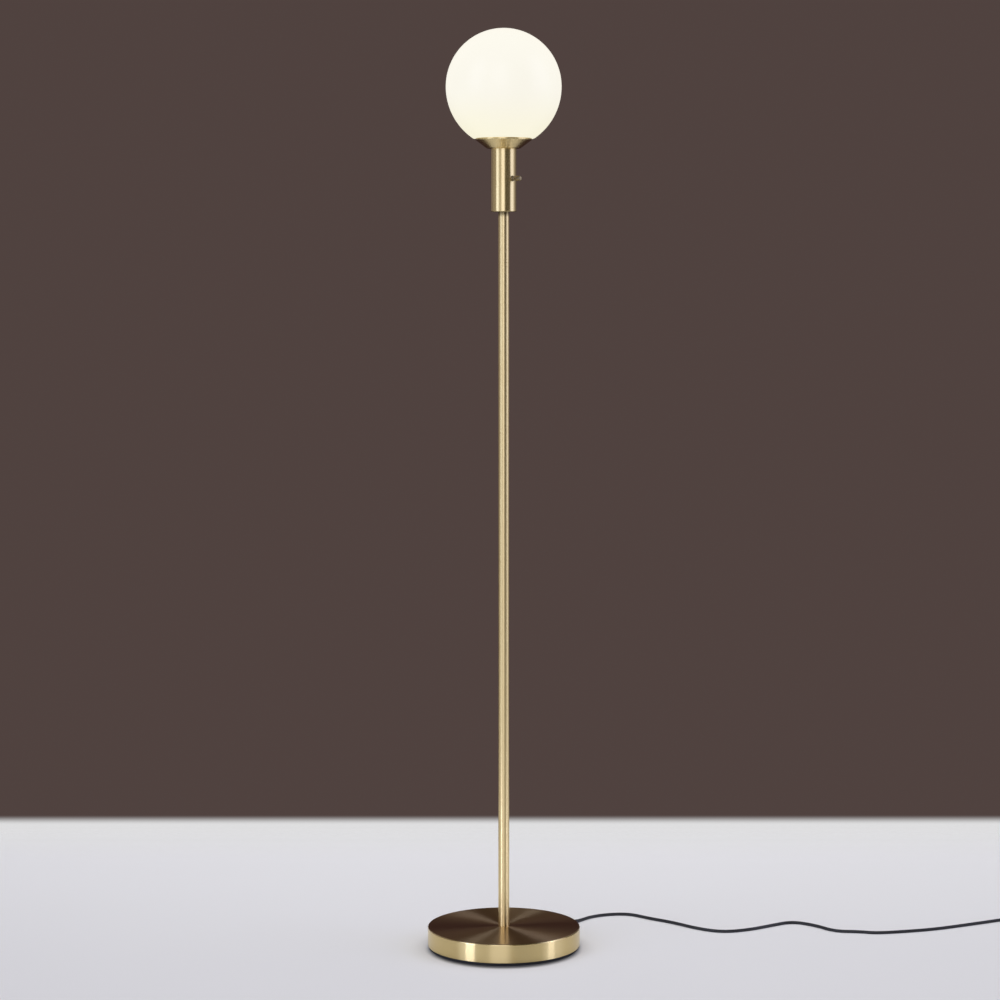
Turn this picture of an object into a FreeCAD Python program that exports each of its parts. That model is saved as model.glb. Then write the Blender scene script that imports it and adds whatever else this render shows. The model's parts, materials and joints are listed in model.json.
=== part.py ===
import FreeCAD, Part
import Sketcher
import math
import os

# Globe floor lamp: weighted round base, one straight pole, socket housing with
# a turn switch, conical shade cup and an opal glass globe.
# Millimetres, +Z up.  Origin: centre of the base, on the floor.  The front of
# the lamp is -Y, and +X is to the right seen from the front.

App = FreeCAD
V = App.Vector
doc = App.newDocument("globe_floor_lamp")

# ---------------------------------------------------------------------------
# driving dimensions
# ---------------------------------------------------------------------------
SIZES = [
    # base
    ("base_radius", 125.5), ("base_top", 35.5), ("base_skirt_low", 4.6),
    ("cover_wall", 1.2), ("cover_edge", 2.2), ("centre_hole", 5.2),
    ("pad_radius", 123.2), ("pad_hole", 5.0),
    ("plate_radius", 118.0), ("plate_thick", 1.5),
    ("weight_radius", 122.0), ("recess_radius", 60.0), ("recess_top", 15.0),
    ("nut_pocket_radius", 20.0), ("nut_pocket_top", 27.0),
    ("notch_width", 9.0), ("plate_screw_circle", 112.0),
    ("screw_shank", 2.0), ("screw_head", 3.8), ("screw_head_high", 1.9), ("screw_long", 10.0),
    # lead and free cord
    ("cord_radius", 2.5), ("cord_exit_height", 10.0), ("cord_exit_angle", 51.0),
    ("cord_hole", 4.2), ("relief_end", 152.0), ("relief_flange", 6.2),
    # threaded tube, nuts, washers
    ("nipple_radius", 5.0), ("nipple_bore", 3.9), ("thread_hole", 5.0),
    ("nipple_low_end", 20.0), ("nipple_low_top", 53.0),
    ("washer_radius", 10.0), ("washer_thick", 1.5), ("spring_washer_radius", 8.6), ("spring_washer_thick", 1.2),
    ("washer_hole", 5.2), ("nut_flats", 14.0), ("nut_high", 4.0),
    # pole
    ("pole_radius", 9.0), ("pole_wall", 1.2), ("pole_top", 1207.8), ("bush_long", 20.0),
    ("nipple_up_low", 1190.0), ("nipple_up_top", 1275.6),
    # socket housing
    ("housing_radius", 21.0), ("housing_wall", 1.2), ("housing_floor", 2.0), ("housing_top", 1308.6),
    ("housing_edge", 0.6),
    # shade cup
    ("cup_hole", 18.7), ("cup_flat", 26.5), ("cup_cone_top_radius", 45.3), ("cup_cone_top_high", 13.9),
    ("cup_rim_high", 16.5), ("cup_wall", 1.2), ("cup_bend_low", 6.0), ("cup_bend_top", 1.4),
    ("grub_radius", 1.0), ("grub_drop", 1.4),
    # globe
    ("globe_radius", 93.1), ("globe_centre", 1407.4), ("globe_offset", 6.22), ("globe_wall", 3.0),
    ("globe_foot", 1325.1), ("neck_radius", 37.0), ("neck_low", 1318.1), ("globe_edge", 1.2),
    # lampholder
    ("holder_radius", 18.5), ("holder_low", 1270.6), ("holder_top", 1318.6), ("holder_wall", 2.0),
    ("holder_floor", 4.0), ("holder_step", 1.4), ("insert_low", 1281.6), ("insert_top", 1287.6),
    ("shell_inner", 13.4), ("shell_top", 1313.6), ("shell_sheet", 0.4), ("thread_pitch", 3.629), ("thread_deep", 0.75),
    ("ring_radius", 22.8), ("ring_high", 4.0), ("terminal_radius", 1.5), ("terminal_foot_high", 1.5),
    # bulb
    ("cap_radius", 13.1), ("bulb_radius", 30.0), ("bulb_seat", 1290.5),
    # switch
    ("switch_height", 1260.4), ("switch_angle", -47.0), ("switch_radius", 7.0), ("switch_back", 7.4), ("switch_front", 18.52),
    ("bush_radius", 3.0), ("bush_end", 24.3), ("shaft_radius", 1.9), ("shaft_hole", 1.96),
    ("switch_nut_radius", 4.2), ("switch_nut_low", 21.7), ("switch_nut_top", 23.7),
    ("knob_neck", 2.8), ("knob_radius", 4.1), ("knob_low", 24.7), ("knob_end", 39.4),
    # plug
    ("plug_wide", 35.3), ("plug_thick", 13.7), ("plug_face_long", 9.0), ("plug_taper_long", 25.0),
    ("plug_tail_wide", 13.0), ("pin_radius", 2.0), ("pin_long", 19.0), ("pin_spacing", 19.0),
]
sheet = doc.addObject("Spreadsheet::Sheet", "Sizes")
sheet.Label = "Sizes"
NUM = {}
for row, (alias, number) in enumerate(SIZES, start=1):
    sheet.set("A%d" % row, alias)
    sheet.set("B%d" % row, repr(number))
    sheet.setAlias("B%d" % row, alias)
    NUM[alias] = number
doc.recompute()


class Q:
    """A size: its number now and the formula that keeps it bound to the sheet."""

    def __init__(self, number, formula):
        self.n = float(number)
        self.f = formula

    @staticmethod
    def of(other):
        return other if isinstance(other, Q) else Q(other, "%.6f" % other)

    def __add__(self, o):
        o = Q.of(o)
        return Q(self.n + o.n, "(%s + %s)" % (self.f, o.f))

    __radd__ = __add__

    def __sub__(self, o):
        o = Q.of(o)
        return Q(self.n - o.n, "(%s - %s)" % (self.f, o.f))

    def __rsub__(self, o):
        return Q.of(o) - self

    def __mul__(self, o):
        o = Q.of(o)
        return Q(self.n * o.n, "(%s * %s)" % (self.f, o.f))

    __rmul__ = __mul__

    def __truediv__(self, o):
        o = Q.of(o)
        return Q(self.n / o.n, "(%s / %s)" % (self.f, o.f))


def S(alias):
    return Q(NUM[alias], "Sizes." + alias)


NODES = []          # (object, node name) in the order they are written
BODY_AXIS = V(0, 0, 1)


def node(obj, label):
    obj.Label = label
    NODES.append((obj, label))
    return obj


def plane(body, role):
    for item in body.Origin.OriginFeatures:
        if item.Role == role:
            return item
    raise RuntimeError(role)


def bind_point(sk, geo, pos, x, y, tag):
    """Fix one sketch point at (x, y), each bound to the sheet."""
    x, y = Q.of(x), Q.of(y)
    if abs(x.n) < 1e-9:
        sk.addConstraint(Sketcher.Constraint("PointOnObject", geo, pos, -2))
    else:
        i = sk.addConstraint(Sketcher.Constraint("DistanceX", -1, 1, geo, pos, x.n))
        sk.renameConstraint(i, tag + "_x")
        sk.setExpression("Constraints." + tag + "_x", x.f)
    if abs(y.n) < 1e-9:
        sk.addConstraint(Sketcher.Constraint("PointOnObject", geo, pos, -1))
    else:
        i = sk.addConstraint(Sketcher.Constraint("DistanceY", -1, 1, geo, pos, y.n))
        sk.renameConstraint(i, tag + "_y")
        sk.setExpression("Constraints." + tag + "_y", y.f)


def polygon(body, name, role, corners):
    sk = body.newObject("Sketcher::SketchObject", name)
    sk.AttachmentSupport = [(plane(body, role), "")]
    sk.MapMode = "FlatFace"
    pts = [V(Q.of(x).n, Q.of(y).n, 0) for x, y in corners]
    count = len(pts)
    for i in range(count):
        sk.addGeometry(Part.LineSegment(pts[i], pts[(i + 1) % count]), False)
    for i in range(count):
        sk.addConstraint(Sketcher.Constraint("Coincident", i, 2, (i + 1) % count, 1))
    for i, (x, y) in enumerate(corners):
        bind_point(sk, i, 1, x, y, "v%d" % i)
    return sk


def place(obj, base=(0, 0, 0), spin=0.0, rot=None):
    """Put a piece in the lamp: base may hold bound sizes, spin turns it about +Z."""
    rotation = rot if rot is not None else App.Rotation(V(0, 0, 1), Q.of(spin).n)
    b = [Q.of(c) for c in base]
    obj.Placement = App.Placement(V(b[0].n, b[1].n, b[2].n), rotation)
    for key, c in zip("xyz", b):
        if "Sizes." in c.f:
            obj.setExpression("Placement.Base." + key, c.f)
    return obj


def turned(label, corners, base=(0, 0, 0), spin=0.0, rot=None, keep=True):
    """A turned piece: a closed profile (radius, height) spun about its own +Z."""
    body = doc.addObject("PartDesign::Body", label)
    sk = polygon(body, label + "_profile", "XZ_Plane", corners)
    rev = body.newObject("PartDesign::Revolution", label + "_turn")
    rev.Profile = sk
    rev.ReferenceAxis = (sk, ["V_Axis"])
    rev.Angle = 360.0
    body.Tip = rev
    place(body, base, spin, rot)
    if keep:
        node(body, label)
    return body


def round_edges(body, name, wanted, radius):
    """Fillet the circular edges that lie at the given (radius, height) pairs."""
    doc.recompute()
    tip = body.Tip
    names = []
    for i, e in enumerate(tip.Shape.Edges, start=1):
        if e.Degenerated or e.Curve.TypeId != "Part::GeomCircle":
            continue
        c = e.Curve
        for r, zz in wanted:
            if abs(c.Radius - Q.of(r).n) < 0.02 and abs(c.Center.z - Q.of(zz).n) < 0.02:
                names.append("Edge%d" % i)
    if len(names) < len(wanted):
        raise RuntimeError("edges of %s: %d found" % (body.Name, len(names)))
    fil = body.newObject("PartDesign::Fillet", name)
    fil.Base = (tip, names)
    fil.Radius = Q.of(radius).n
    if "Sizes." in Q.of(radius).f:
        fil.setExpression("Radius", Q.of(radius).f)
    body.Tip = fil
    doc.recompute()
    return fil


def side_hole(body, name, height, radius, depth):
    """A round hole bored through one side of a hollow piece along its own +X."""
    doc.recompute()
    before = body.Shape.Volume
    sk = body.newObject("Sketcher::SketchObject", name + "_circle")
    sk.AttachmentSupport = [(plane(body, "YZ_Plane"), "")]
    sk.MapMode = "FlatFace"
    sk.addGeometry(Part.Circle(V(0, Q.of(height).n, 0), V(0, 0, 1), Q.of(radius).n), False)
    sk.addConstraint(Sketcher.Constraint("PointOnObject", 0, 3, -2))
    i = sk.addConstraint(Sketcher.Constraint("DistanceY", -1, 1, 0, 3, Q.of(height).n))
    sk.renameConstraint(i, "hole_high")
    sk.setExpression("Constraints.hole_high", Q.of(height).f)
    i = sk.addConstraint(Sketcher.Constraint("Radius", 0, Q.of(radius).n))
    sk.renameConstraint(i, "hole_size")
    sk.setExpression("Constraints.hole_size", Q.of(radius).f)
    cut = body.newObject("PartDesign::Pocket", name)
    cut.Profile = sk
    cut.Type = 0
    cut.Length = Q.of(depth).n
    cut.setExpression("Length", Q.of(depth).f)
    cut.Reversed = True
    body.Tip = cut
    doc.recompute()
    if not before - body.Shape.Volume > 1.0:
        cut.Reversed = False
        doc.recompute()
    if not before - body.Shape.Volume > 1.0:
        raise RuntimeError(name + " cuts nothing")
    return cut


def cyl(name, radius, height, base=(0, 0, 0), rot=None):
    c = doc.addObject("Part::Cylinder", name)
    c.Radius, c.Height = Q.of(radius).n, Q.of(height).n
    for prop, q in (("Radius", Q.of(radius)), ("Height", Q.of(height))):
        if "Sizes." in q.f:
            c.setExpression(prop, q.f)
    place(c, base, 0, rot)
    return c


def block(name, lx, ly, lz, base=(0, 0, 0), rot=None):
    c = doc.addObject("Part::Box", name)
    for prop, q in (("Length", Q.of(lx)), ("Width", Q.of(ly)), ("Height", Q.of(lz))):
        setattr(c, prop, q.n)
        if "Sizes." in q.f:
            c.setExpression(prop, q.f)
    place(c, base, 0, rot)
    return c


def cut(label, base, tools, keep=True):
    if len(tools) > 1:
        tool = doc.addObject("Part::MultiFuse", label + "_tools")
        tool.Shapes = tools
    else:
        tool = tools[0]
    c = doc.addObject("Part::Cut", label)
    c.Base, c.Tool = base, tool
    if keep:
        node(c, label)
    return c


def fuse(label, parts, keep=True):
    f = doc.addObject("Part::MultiFuse", label)
    f.Shapes = parts
    f.Refine = True
    if keep:
        node(f, label)
    return f


def group(label, parts):
    g = doc.addObject("Part::Compound", label)
    g.Links = parts
    return node(g, label)


def ring(label, outer, inner, height, base):
    """A washer or plain collar, as a turned section."""
    outer, inner, height = Q.of(outer), Q.of(inner), Q.of(height)
    return turned(label, [(inner, 0), (outer, 0), (outer, height), (inner, height)], base)


def hex_nut(label, base):
    p = doc.addObject("Part::Prism", label + "_hex")
    p.Polygon = 6
    p.Circumradius = NUM["nut_flats"] / math.sqrt(3)
    p.setExpression("Circumradius", "Sizes.nut_flats / sqrt(3)")
    p.Height = NUM["nut_high"]
    p.setExpression("Height", "Sizes.nut_high")
    place(p, base)
    hole = cyl(label + "_bore", S("thread_hole"), S("nut_high") + 2, (base[0], base[1], Q.of(base[2]) - 1))
    # 30 degree chamfer of the corners, top and bottom, as on a rolled nut
    cone = turned(label + "_chamfer", [(0, -0.01), (7.2, -0.01), (8.2, 0.6), (8.2, 3.4), (7.2, 4.01), (0, 4.01)], base, keep=False)
    com = doc.addObject("Part::Common", label + "_blank")
    com.Base, com.Tool = p, cone
    return cut(label, com, [hole])


def axis_turn(angle_deg):
    """Turns a piece made along its own +Z so that it points out sideways at this angle from +X."""
    a = math.radians(angle_deg)
    return App.Rotation(V(0, 0, 1), V(math.cos(a), math.sin(a), 0))


# ---------------------------------------------------------------------------
# base
# ---------------------------------------------------------------------------
R, T, W, LOW = S("base_radius"), S("base_top"), S("cover_wall"), S("base_skirt_low")

# spun brass cap: flat top, straight skirt, small turned-in edge, hole for the lead
cover = turned("base_cover", [
    (S("centre_hole"), T - W), (R - W, T - W), (R - W, LOW), (R, LOW), (R, T), (S("centre_hole"), T)],
    spin=NUM["cord_exit_angle"])
round_edges(cover, "base_cover_edge", [(R, T)], S("cover_edge"))
round_edges(cover, "base_cover_inner_edge", [(R - W, T - W)], S("cover_edge") - W)
round_edges(cover, "base_cover_lip", [(R, LOW)], Q(0.35, "0.35"))
side_hole(cover, "base_cover_lead_hole", S("cord_exit_height"), S("cord_hole"), R + 5)

# cast concrete weight: recessed below, with a pocket for the nut and a notch for the lead
wz = LOW + S("plate_thick")
weight_blank = turned("base_weight_blank", [
    (S("centre_hole"), S("nut_pocket_top")), (S("nut_pocket_radius"), S("nut_pocket_top")),
    (S("nut_pocket_radius"), S("recess_top")), (S("recess_radius"), S("recess_top")),
    (S("recess_radius"), wz), (S("weight_radius"), wz), (S("weight_radius"), T - W - 2.5),
    (S("weight_radius") - 2.5, T - W), (S("centre_hole"), T - W)], keep=False)
tools = []
ang = NUM["cord_exit_angle"]
ca, sa = math.cos(math.radians(ang)), math.sin(math.radians(ang))
notch = block("lead_notch", 85, S("notch_width"), 20,
              (50 * ca + NUM["notch_width"] / 2 * sa, 50 * sa - NUM["notch_width"] / 2 * ca, S("recess_top") - 20),
              App.Rotation(V(0, 0, 1), ang))
tools.append(notch)
for k in range(3):
    a = math.radians(ang + 60 + 120 * k)
    tools.append(cyl("weight_tapped_%d" % k, S("screw_shank"), S("screw_long") + 1,
                     (NUM["plate_screw_circle"] * math.cos(a), NUM["plate_screw_circle"] * math.sin(a), wz - 1)))
CLAMP_R = 44.0
for k, side in enumerate((-1, 1)):
    tools.append(cyl("weight_clamp_tapped_%d" % k, 1.45, 8.0,
                     (CLAMP_R * ca - side * 7.5 * sa, CLAMP_R * sa + side * 7.5 * ca, NUM["recess_top"] - 1)))
cut("base_weight", weight_blank, tools)

# bottom plate with three clearance holes
plate_blank = cyl("base_plate_blank", S("plate_radius"), S("plate_thick"), (0, 0, LOW))
holes = []
for k in range(3):
    a = math.radians(ang + 60 + 120 * k)
    holes.append(cyl("plate_hole_%d" % k, S("screw_shank") + 0.25, S("plate_thick") + 2,
                     (NUM["plate_screw_circle"] * math.cos(a), NUM["plate_screw_circle"] * math.sin(a), LOW - 1)))
cut("base_plate", plate_blank, holes)

# rubber pad, with holes that hold the screw heads off the floor
pad_blank = turned("base_pad_blank", [
    (0, 0), (S("pad_radius") - 0.8, 0), (S("pad_radius"), 0.8), (S("pad_radius"), LOW), (0, LOW)], keep=False)
holes = []
for k in range(3):
    a = math.radians(ang + 60 + 120 * k)
    holes.append(cyl("pad_hole_%d" % k, S("pad_hole"), LOW + 2,
                     (NUM["plate_screw_circle"] * math.cos(a), NUM["plate_screw_circle"] * math.sin(a), -1)))
cut("base_pad", pad_blank, holes)

screws = []
for k in range(3):
    a = math.radians(ang + 60 + 120 * k)
    x, y = NUM["plate_screw_circle"] * math.cos(a), NUM["plate_screw_circle"] * math.sin(a)
    shank = cyl("plate_screw_shank_%d" % k, S("screw_shank"), S("screw_long"), (x, y, LOW))
    head = turned("plate_screw_head_%d" % k, [
        (0, 0), (S("screw_head") - 0.9, 0), (S("screw_head"), 0.8), (S("screw_head"), S("screw_head_high")),
        (0, S("screw_head_high"))], (x, y, LOW - S("screw_head_high")), keep=False)
    slot = block("plate_screw_slot_%d" % k, 9.0, 0.9, 1.0, (x - 4.5, y - 0.45, LOW - S("screw_head_high") - 0.01))
    whole = fuse("plate_screw_blank_%d" % k, [shank, head], keep=False)
    screws.append(cut("plate_screw_%d" % k, whole, [slot], keep=False))
group("base_plate_screws", screws)

# ---------------------------------------------------------------------------
# the threaded tube that pulls the pole down on the base, with its nut and washers
# ---------------------------------------------------------------------------
top = S("nut_pocket_top")
ring("base_washer", S("washer_radius"), S("washer_hole"), S("washer_thick"), (0, 0, top - S("washer_thick")))
# spring washer: a split ring
spring_z = top - S("washer_thick") - S("spring_washer_thick")
spring_blank = ring("base_spring_washer_blank", S("spring_washer_radius"), S("washer_hole"), S("spring_washer_thick"), (0, 0, spring_z))
NODES.pop()
gap = block("spring_washer_gap", 6, 1.0, 4, (4, -0.5, spring_z - 1), App.Rotation(V(0, 0, 1), 200))
cut("base_spring_washer", spring_blank, [gap])
hex_nut("base_nut", (0, 0, spring_z - S("nut_high")))
ring("lower_nipple", S("nipple_radius"), S("nipple_bore"), S("nipple_low_top") - S("nipple_low_end"), (0, 0, S("nipple_low_end")))

# ---------------------------------------------------------------------------
# pole
# ---------------------------------------------------------------------------
PR, PW, PT = S("pole_radius"), S("pole_wall"), S("pole_top")
pole = ring("pole_tube", PR, PR - PW, PT - T, (0, 0, T))
ring("pole_bush_lower", PR - PW, S("thread_hole"), S("bush_long"), (0, 0, T))
ring("pole_bush_upper", PR - PW, S("thread_hole"), S("bush_long"), (0, 0, PT - S("bush_long")))

# upper threaded tube, with a side window for the wire to the switch
nip_blank = ring("upper_nipple_blank", S("nipple_radius"), S("nipple_bore"), S("nipple_up_top") - S("nipple_up_low"), (0, 0, S("nipple_up_low")))
NODES.pop()
SW = NUM["switch_angle"]
window = cyl("upper_nipple_window", 2.4, 12, (0, 0, 1234.0), axis_turn(SW))
cut("upper_nipple", nip_blank, [window])

# ---------------------------------------------------------------------------
# socket housing
# ---------------------------------------------------------------------------
HR, HW, HT = S("housing_radius"), S("housing_wall"), S("housing_top")
hz = HT - PT
housing = turned("socket_housing", [
    (S("washer_hole"), 0), (HR, 0), (HR, hz), (HR - HW, hz), (HR - HW, S("housing_floor")), (S("washer_hole"), S("housing_floor"))],
    (0, 0, PT), spin=SW)
round_edges(housing, "socket_housing_edge", [(HR, 0)], S("housing_edge"))
side_hole(housing, "socket_housing_switch_hole", S("switch_height") - PT, S("bush_radius") + 0.1, HR + 5)
ring("housing_washer", S("washer_radius") - 0.5, S("washer_hole"), S("washer_thick"), (0, 0, PT + S("housing_floor")))
hex_nut("housing_nut", (0, 0, PT + S("housing_floor") + S("washer_thick")))

# ---------------------------------------------------------------------------
# shade cup: flat seat on the housing, cone, short upright rim
# ---------------------------------------------------------------------------
CW, CH = S("cup_wall"), S("cup_hole")
cr, cz, rim = S("cup_cone_top_radius"), S("cup_cone_top_high"), S("cup_rim_high")
slope = math.atan2(NUM["cup_cone_top_high"], NUM["cup_cone_top_radius"] - NUM["cup_flat"])
dx_flat = NUM["cup_wall"] * math.tan(slope / 2)            # inner corner of the seat and the cone
dz_rim = NUM["cup_wall"] * math.tan((math.pi / 2 - slope) / 2)  # inner corner of the cone and the rim
cup_blank = turned("shade_cup_blank", [
    (CH, 0), (S("cup_flat"), 0), (cr, cz), (cr, rim), (cr - CW, rim), (cr - CW, cz + dz_rim),
    (S("cup_flat") - dx_flat, CW), (CH, CW)], (0, 0, HT), keep=False)
round_edges(cup_blank, "shade_cup_low_bend", [(S("cup_flat"), 0), (S("cup_flat") - dx_flat, CW)], S("cup_bend_low"))
round_edges(cup_blank, "shade_cup_top_bend", [(cr, cz), (cr - CW, cz + dz_rim)], S("cup_bend_top"))
# three tapped holes for the grub screws that hold the glass neck
tapped, grubs = [], []
for k, az in enumerate((90.0, 210.0, 330.0)):
    hgt = HT + rim - S("grub_drop")
    a = math.radians(az)
    tapped.append(cyl("cup_tapped_%d" % k, S("grub_radius"), 6, (42 * math.cos(a), 42 * math.sin(a), hgt), axis_turn(az)))
    rod = cyl("grub_rod_%d" % k, S("grub_radius"), 7.9, (37.4 * math.cos(a), 37.4 * math.sin(a), hgt), axis_turn(az))
    slot = block("grub_slot_%d" % k, 0.9, 0.4, 4.0, (0, 0, 0))
    rot = App.Rotation(V(0, 0, 1), az)
    place(slot, (44.6 * math.cos(a) + 0.2 * math.sin(a), 44.6 * math.sin(a) - 0.2 * math.cos(a), hgt - 2.0), rot=rot)
    grubs.append(cut("grub_screw_%d" % k, rod, [slot], keep=False))
cut("shade_cup", cup_blank, tapped)
group("cup_grub_screws", grubs)

# ---------------------------------------------------------------------------
# lampholder
# ---------------------------------------------------------------------------
LR, LW, LB, LT = S("holder_radius"), S("holder_wall"), S("holder_low"), S("holder_top")
lh = LT - LB
shell_blank = turned("lampholder_body_blank", [
    (S("thread_hole"), -3.0), (9.0, -3.0), (9.0, 0), (LR - 1.2, 0), (LR, 1.2), (LR, lh - 0.6), (LR - 0.6, lh), (14.9, lh), (14.9, lh - 3.2),
    (LR - LW, lh - 3.2), (LR - LW, S("insert_low") - LB), (LR - LW - S("holder_step"), S("insert_low") - LB),
    (LR - LW - S("holder_step"), S("holder_floor")), (S("thread_hole"), S("holder_floor"))], (0, 0, LB), keep=False)
u = V(math.cos(math.radians(SW)), math.sin(math.radians(SW)), 0)
w = V(-u.y, u.x, 0)
WIRE_UP = u * 8.0 + w * 10.5            # where the switched wire goes up into the lampholder
entry = cyl("lampholder_wire_entry", 1.6, 10, (WIRE_UP.x, WIRE_UP.y, NUM["holder_low"] - 2))
cut("lampholder_body", shell_blank, [entry])

ihi = S("insert_top") - S("insert_low")
insert_blank = turned("lampholder_insert_blank", [
    (0, 0), (LR - LW, 0), (LR - LW, ihi - 1.5), (15.3, ihi - 1.5), (15.3, ihi), (0, ihi)], (0, 0, S("insert_low")), keep=False)
TERM_A, TERM_B = 6.0, -10.0             # the centre contact's post and the screw shell's post
cut("lampholder_insert", insert_blank, [
    cyl("insert_hole_a", S("terminal_radius"), 14, (TERM_A, 0, NUM["insert_low"] - 4)),
    cyl("insert_hole_b", S("terminal_radius"), 14, (TERM_B, 0, NUM["insert_low"] - 4))])


def thread_rings(inner, outer_skin, low, high, pitch, deep, outward):
    """Profile of a rolled screw shell: rings at the thread's pitch."""
    turns = int((high.n - low.n) / pitch.n)
    a, b = [], []
    for i in range(2 * turns + 1):
        z = low + pitch * (0.5 * i)
        step = deep if i % 2 else Q.of(0.0)
        a.append((inner + step if outward else inner - step, z))
        b.append((outer_skin + step if outward else outer_skin - step, z))
    return a, b


# screw shell, in rolled sheet
ih = S("insert_top")
sa_, sb_ = thread_rings(S("shell_inner"), S("shell_inner") + S("shell_sheet"), Q.of(1.0), S("shell_top") - ih, S("thread_pitch"), S("thread_deep"), True)
profile = [(8.6, 0), (S("shell_inner") + S("shell_sheet"), 0)] + sb_ + list(reversed(sa_)) + [(S("shell_inner"), 0.5), (8.6, 0.5)]
turned("screw_shell", profile, (0, 0, ih))

# centre contact: a bent leaf of spring brass, on the ceramic insert
leaf = doc.addObject("PartDesign::Body", "centre_contact")
lsk = polygon(leaf, "centre_contact_profile", "XZ_Plane", [
    (8.0, 0), (8.0, 0.4), (3.2, 0.4), (0.6, 2.6), (-2.4, 2.6), (-2.4, 2.2), (0.4, 2.2), (3.0, 0)])
lpad = leaf.newObject("PartDesign::Pad", "centre_contact_width")
lpad.Profile = lsk
lpad.Length = 5.0
lpad.Midplane = True
leaf.Tip = lpad
place(leaf, (0, 0, ih))
node(leaf, "centre_contact")

# terminals: two brass posts with screws below the insert
posts = []
for k, x in enumerate((TERM_A, TERM_B)):
    low = S("insert_low") - S("terminal_foot_high")
    stem = cyl("terminal_stem_%d" % k, S("terminal_radius"), S("insert_top") - low, (x, 0, low))
    foot = cyl("terminal_foot_%d" % k, 2.9, S("terminal_foot_high"), (x, 0, low))
    posts.append(fuse("terminal_%d" % k, [stem, foot], keep=False))
group("lampholder_terminals", posts)

ring("shade_ring_blank", S("ring_radius"), LR, S("ring_high"), (0, 0, HT + CW))
ring_blank = NODES.pop()[0]
notches = []
for k in range(6):
    a = 60 * k + 30
    notches.append(cyl("shade_ring_notch_%d" % k, 1.5, 8, (23.2 * math.cos(math.radians(a)), 23.2 * math.sin(math.radians(a)), HT + CW - 1)))
cut("shade_ring", ring_blank, notches)

# ---------------------------------------------------------------------------
# bulb
# ---------------------------------------------------------------------------
bz = S("bulb_seat")
BR = S("bulb_radius")
# solder tip and insulator at the foot of the cap
turned("bulb_tip", [(0, 0), (2.6, 0), (3.9, 0.9), (3.9, 1.6), (0, 1.6)], (0, 0, bz))
turned("bulb_insulator", [(0, 1.6), (4.6, 1.6), (8.6, 3.9), (8.6, 4.3), (0, 4.3)], (0, 0, bz))
ca_, cb_ = thread_rings(S("cap_radius") - 0.6, S("cap_radius") - 0.0, Q.of(5.6), Q.of(24.0), S("thread_pitch"), Q.of(0.62), False)
cap = [(8.6, 4.3), (9.6, 4.3)] + cb_ + [(S("cap_radius") + 0.0, 25.6), (S("cap_radius") + 0.0, 27.2), (S("cap_radius") - 0.5, 27.2)] + \
      [(S("cap_radius") - 0.6, 25.4)] + list(reversed(ca_)) + [(9.0, 4.9), (8.6, 4.9)]
turned("bulb_cap", cap, (0, 0, bz))
# moulded collar between the cap and the envelope
turned("bulb_collar", [(0, 8.0), (11.6, 8.0), (11.6, 27.2), (13.6, 27.2), (15.6, 33.0), (22.4, 51.0), (26.6, 57.5), (25.4, 58.6), (0, 58.6)], (0, 0, bz))
# frosted envelope: a dome on the collar
env = doc.addObject("PartDesign::Body", "bulb_envelope")
esk = env.newObject("Sketcher::SketchObject", "bulb_envelope_profile")
esk.AttachmentSupport = [(plane(env, "XZ_Plane"), "")]
esk.MapMode = "FlatFace"
rb, zb, tb = BR.n, 74.0, 1.2
z_low = 58.6
a_out = math.asin((z_low - zb) / rb)
a_in = math.asin((z_low - zb) / (rb - tb))
esk.addGeometry(Part.ArcOfCircle(Part.Circle(V(0, zb, 0), V(0, 0, 1), rb), a_out, math.pi / 2), False)
esk.addGeometry(Part.ArcOfCircle(Part.Circle(V(0, zb, 0), V(0, 0, 1), rb - tb), a_in, math.pi / 2), False)
esk.addGeometry(Part.LineSegment(V(0, zb + rb, 0), V(0, zb + rb - tb, 0)), False)
esk.addGeometry(Part.LineSegment(V((rb - tb) * math.cos(a_in), z_low, 0), V(rb * math.cos(a_out), z_low, 0)), False)
for c in (("Coincident", 0, 2, 2, 1), ("Coincident", 1, 2, 2, 2), ("Coincident", 1, 1, 3, 1), ("Coincident", 0, 1, 3, 2),
          ("Coincident", 0, 3, 1, 3), ("PointOnObject", 0, 3, -2), ("PointOnObject", 0, 2, -2), ("Vertical", 2), ("Horizontal", 3)):
    esk.addConstraint(Sketcher.Constraint(*c))
i = esk.addConstraint(Sketcher.Constraint("DistanceY", -1, 1, 0, 3, zb))
i = esk.addConstraint(Sketcher.Constraint("DistanceY", -1, 1, 3, 1, z_low))
i = esk.addConstraint(Sketcher.Constraint("Radius", 0, rb))
esk.renameConstraint(i, "outer")
esk.setExpression("Constraints.outer", "Sizes.bulb_radius")
i = esk.addConstraint(Sketcher.Constraint("Radius", 1, rb - tb))
esk.renameConstraint(i, "inner")
esk.setExpression("Constraints.inner", "Sizes.bulb_radius - 1.2")
erev = env.newObject("PartDesign::Revolution", "bulb_envelope_turn")
erev.Profile = esk
erev.ReferenceAxis = (esk, ["V_Axis"])
erev.Angle = 360.0
env.Tip = erev
place(env, (0, 0, bz))
node(env, "bulb_envelope")

# ---------------------------------------------------------------------------
# opal globe: two tangent arcs, flat foot, short neck down into the cup
# ---------------------------------------------------------------------------
GR, GC, GO, GW = NUM["globe_radius"], NUM["globe_centre"], NUM["globe_offset"], NUM["globe_wall"]
GF, NR, NL = NUM["globe_foot"], NUM["neck_radius"], NUM["neck_low"]
z0 = GF                                    # local zero is the foot
zc = GC - z0
globe = doc.addObject("PartDesign::Body", "globe_shade")
gsk = globe.newObject("Sketcher::SketchObject", "globe_shade_profile")
gsk.AttachmentSupport = [(plane(globe, "XZ_Plane"), "")]
gsk.MapMode = "FlatFace"
ro, ri = GR + GO, GR + GO - GW              # radius of the lower arc, outside and inside


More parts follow.
